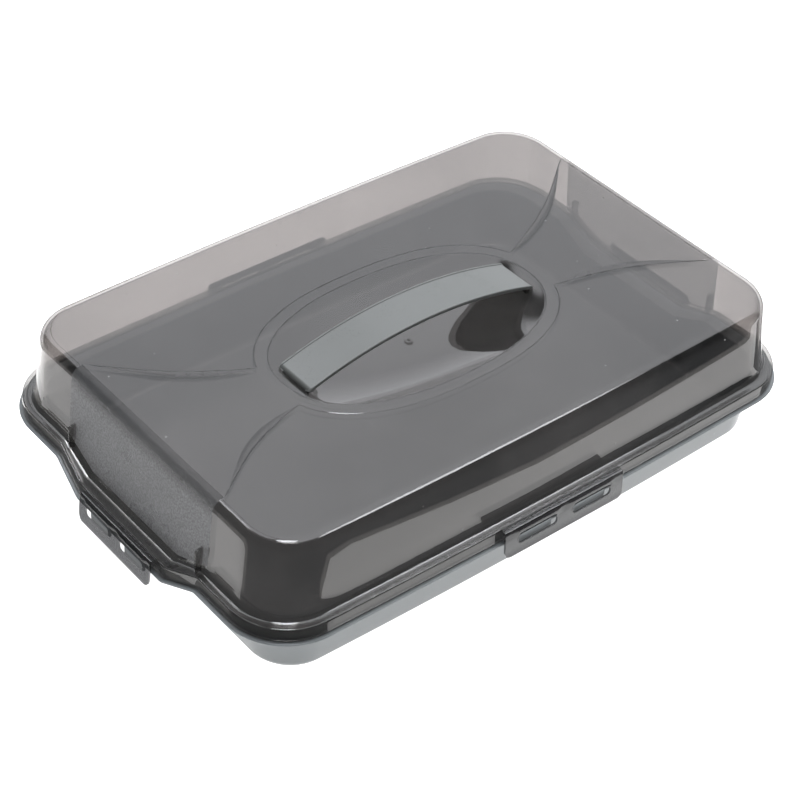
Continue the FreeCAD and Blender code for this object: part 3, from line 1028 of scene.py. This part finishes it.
def make_film(name):
    p, deg, half, _ = hinge(name)
    half -= 0.4
    section = [(u, film_half(u)) for u in FILM_STEPS]
    section += [(u, -film_half(u)) for u in FILM_STEPS[::-1]]
    xs = [-half, -half + 0.25] + list(np.linspace(-half + 1.5, half - 1.5, 25))
    xs += [half - 0.25, half]
    rows = []
    for x in xs:
        thin = 0.82 if abs(x) == half else 1.0
        rows.append(np.array([(x, -u, w * thin) for u, w in section]))
    verts, faces = capped(rows)
    return make("hinge_film_" + name, turned(verts, deg, p), faces, [SMOKED_CLIP_AND_SHADE])


# ------------------------------------------------------------------ pieces on their bodies
lid = make_lid()
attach(lid, "lid_body")
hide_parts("lid")
tray = make_tray()
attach(tray, "base")
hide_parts("base_tray")
strap = make_strap()
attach(strap, "lid_body")
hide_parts("carry_handle")
for side in ("front", "back", "left", "right"):
    plate = make_clip(side)
    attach(plate, "clip_" + side + "_body")
    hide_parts("clip_" + side)
    film = make_film(side)
    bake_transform(film)
    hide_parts("film_" + side)


# ------------------------------------------------------------------ studio
FLOOR = [(-6000, -6000), (6000, -6000), (6000, 6000), (-6000, 6000)]
FLOOR_Z, FLOOR_GLOW = -0.05, 1.15
# sheets on the table that only reflections see
CARDS_Z, WHITE_GLOW, GREY_GLOW = -0.02, 1.8, 1.35
CARDS = {
    "card_front": [
        (-158, -175), (420, -175), (420, -226), (68, -228), (0, -234),
        (-49, -240), (-82, -244), (-102, -240), (-120, -223), (-136, -207),
    ],
    "card_back": [(-420, 175), (420, 175), (420, 243), (-420, 243)],
    "card_left": [(-255, -60), (-310, -40), (-310, 260), (-255, 260)],
    "card_right": [(245, -100), (245, 100), (310, 100), (310, -100)],
    "card_under": [
        (-226, -125), (-195, -163), (195, -163), (240, -125),
        (240, 125), (195, 163), (-195, 163), (-226, 125),
    ],
}

# large soft panels in the sky: planes that bound them (normal, level, softness), then their
# radiance low down and high up
PANELS = [
    ([((0.899, -0.438, 0), 0.0, 0.015), ((0, 1, 0), -0.30, 0.05)], 1.05, 2.35),
    ([((-0.934, 0.358, 0), 0.0, 0.015), ((0, 1, 0), 0.20, 0.05), ((1, 0, 0), -0.16, 0.05)],
     1.05, 2.35),
]
PANEL_LOW, PANEL_HIGH = 0.38, 0.82
# small lamps: direction, inner and outer edge in degrees, radiance
CAPS = [
    ((0.51, -0.35, 0.78), 5, 8, 10.0),
    ((0.0, 0.0, 1.0), 7, 10, 16.0),
    ((-0.09, 0.575, 0.81), 4, 6, 6.0),
]
# the rest of the sky, and what lies below the horizon
AMBIENT = 0.12
BELOW = 0.18
SKY_HUE = (0.98, 1.0, 1.045, 1)


def emitter(name, strength):
    n = Nodes(name)
    glow = n.add("ShaderNodeEmission", {"Color": WHITE, "Strength": strength}).outputs[0]
    return n, glow


def sheet(name, corners, z, mat):
    mesh = bpy.data.meshes.new(name)
    points = [(x * MM, y * MM, z * MM) for x, y in corners]
    mesh.from_pydata(points, [], [tuple(range(len(corners)))])
    mesh.materials.append(mat)
    obj = bpy.data.objects.new(name, mesh)
    bpy.context.scene.collection.objects.link(obj)
    return obj


def make_floor():
    n, glow = emitter("floor_paper", FLOOR_GLOW)
    col = n.ramp(n.noise(14.0, 3), [(0.3, (0.78, 0.78, 0.78)), (0.7, (0.8, 0.8, 0.8))])
    paper = n.add("ShaderNodeBsdfDiffuse", {"Color": col}).outputs[0]
    mat = n.out(n.add("ShaderNodeAddShader", {0: glow, 1: paper}).outputs[0])
    floor = sheet("floor", FLOOR, FLOOR_Z, mat)
    floor.visible_glossy = False
    n, glow = emitter("card_white", WHITE_GLOW)
    white = n.out(glow)
    n, glow = emitter("card_grey", GREY_GLOW)
    grey = n.out(glow)
    for name, corners in CARDS.items():
        card = sheet(name, corners, CARDS_Z, grey if name == "card_left" else white)
        card.visible_camera = False
        card.visible_diffuse = False
        card.visible_shadow = False
        card.visible_transmission = False


def make_world():
    world = bpy.data.worlds.new("studio")
    bpy.context.scene.world = world
    world.use_nodes = True
    tree = world.node_tree
    tree.nodes.clear()

    def add(kind, ins=None, **sets):
        return add_node(tree, kind, ins, **sets)

    def combine(operation, a, b):
        return add("ShaderNodeMath", {0: a, 1: b}, operation=operation).outputs[0]

    direction = add("ShaderNodeTexCoord").outputs["Generated"]

    def towards(vector):
        ins = {0: direction, 1: vector}
        return add("ShaderNodeVectorMath", ins, operation="DOT_PRODUCT").outputs["Value"]

    def smooth(v, lo, hi, top):
        ins = {0: v, 1: lo, 2: hi, 3: 0.0, 4: top}
        return add("ShaderNodeMapRange", ins, interpolation_type="SMOOTHSTEP").outputs[0]

    def cap(middle, inner, outer, strength):
        """A round soft panel in one direction, its edge between two angles."""
        lo, hi = (math.cos(math.radians(v)) for v in (outer, inner))
        return smooth(towards(Vector(middle).normalized()), lo, hi, strength)

    def beyond(normal, at, soft):
        """1 on the far side of a plane of directions, 0 on the near side."""
        return smooth(towards(Vector(normal)), at - soft, at + soft, 1.0)

    z = add("ShaderNodeSeparateXYZ", {0: direction}).outputs["Z"]
    total = None
    for planes, low, high in PANELS:
        ins = {0: z, 1: PANEL_LOW, 2: PANEL_HIGH, 3: low, 4: high}
        v = add("ShaderNodeMapRange", ins).outputs[0]
        for bound in planes:
            v = combine("MULTIPLY", v, beyond(*bound))
        total = v if total is None else combine("MAXIMUM", total, v)
    for c in CAPS:
        total = combine("MAXIMUM", total, cap(*c))
    above = add("ShaderNodeMapRange", {0: z, 1: -0.02, 2: 0.05, 3: 0.0, 4: 1.0}).outputs[0]
    lit = combine("ADD", total, AMBIENT)
    lit = add("ShaderNodeMix", {0: above, 2: BELOW, 3: lit}, data_type="FLOAT").outputs[0]
    # the camera sees a plain white backdrop in place of the panels
    seen = add("ShaderNodeLightPath").outputs["Is Camera Ray"]
    strength = add("ShaderNodeMix", {0: seen, 2: lit, 3: 1.0}, data_type="FLOAT").outputs[0]
    hue = add("ShaderNodeMix", {0: seen, 6: SKY_HUE, 7: WHITE}, data_type="RGBA").outputs[2]
    sky = add("ShaderNodeBackground", {"Color": hue, "Strength": strength}).outputs[0]
    add("ShaderNodeOutputWorld", {"Surface": sky})
    world.cycles.sampling_method = "MANUAL"
    world.cycles.sample_map_resolution = 512


# ------------------------------------------------------------------ camera
# position in metres; azimuth, elevation and roll of the view in degrees
CAM_POS = Vector((-0.6923, -0.7660, 0.8852))
CAM_AZ = -41.62
CAM_EL = 39.77
CAM_ROLL = 3.83
LENS = 93.7782
SHIFT = (0.01155, -0.0008625)


def make_camera():
    data = bpy.data.cameras.new("cam")
    cam = bpy.data.objects.new("cam", data)
    bpy.context.scene.collection.objects.link(cam)
    a, e, r = (math.radians(v) for v in (CAM_AZ, CAM_EL, CAM_ROLL))
    back = Vector((math.sin(a) * math.cos(e), -math.cos(a) * math.cos(e), math.sin(e)))
    right = Vector((0, 0, 1)).cross(back).normalized()
    up = back.cross(right)
    x = right * math.cos(r) + up * math.sin(r)
    y = up * math.cos(r) - right * math.sin(r)
    m = Matrix((x, y, back)).transposed().to_4x4()
    m.translation = CAM_POS
    cam.matrix_world = m
    data.sensor_width = 36
    data.lens = LENS
    data.shift_x, data.shift_y = SHIFT
    data.clip_start = 0.05
    data.clip_end = 50
    bpy.context.scene.camera = cam


make_floor()
make_world()
make_camera()
bpy.context.scene.view_settings.view_transform = "Standard"
bpy.context.scene.cycles.transparent_max_bounces = 24
